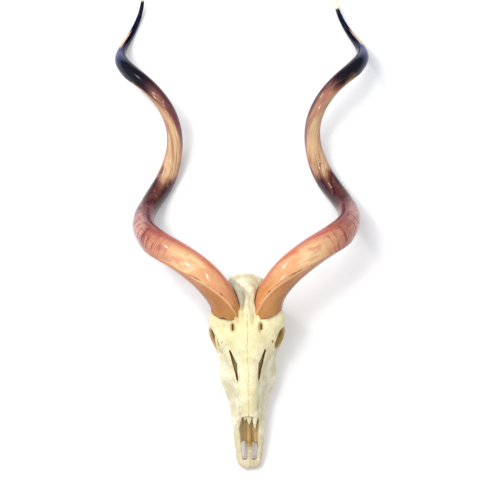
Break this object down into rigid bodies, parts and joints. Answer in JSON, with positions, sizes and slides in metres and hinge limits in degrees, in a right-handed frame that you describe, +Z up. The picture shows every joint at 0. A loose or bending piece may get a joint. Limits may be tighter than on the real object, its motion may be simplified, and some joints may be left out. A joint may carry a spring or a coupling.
{
  "type": "kudu skull with horns",
  "caption": "Greater kudu skull without its lower jaw, with its pair of polished spiral horns, lying face up on its cheek teeth and the backs of its horns.",
  "frame": {"origin": "the middle of the outline seen from above, on the surface that the teeth and horns lie on", "axes": "+X to the image's right across the face, +Y from the snout towards the horn tips, +Z up out of the face"},
  "size_m": [0.6056, 1.1754, 0.2046],
  "materials": {
    "bone": "matte",
    "horn": "polished",
    "tooth": "satin"
  },
  "bodies": {
    "root": {"skull": "bone", "horn_left": "horn", "horn_right": "horn", "tooth_left_premolar_1": "tooth", "tooth_left_premolar_2": "tooth", "tooth_left_premolar_3": "tooth", "tooth_left_molar_1": "tooth", "tooth_left_molar_2": "tooth", "tooth_left_molar_3": "tooth", "tooth_right_premolar_1": "tooth", "tooth_right_premolar_2": "tooth", "tooth_right_premolar_3": "tooth", "tooth_right_molar_1": "tooth", "tooth_right_molar_2": "tooth", "tooth_right_molar_3": "tooth"}
  },
  "joints": []
}
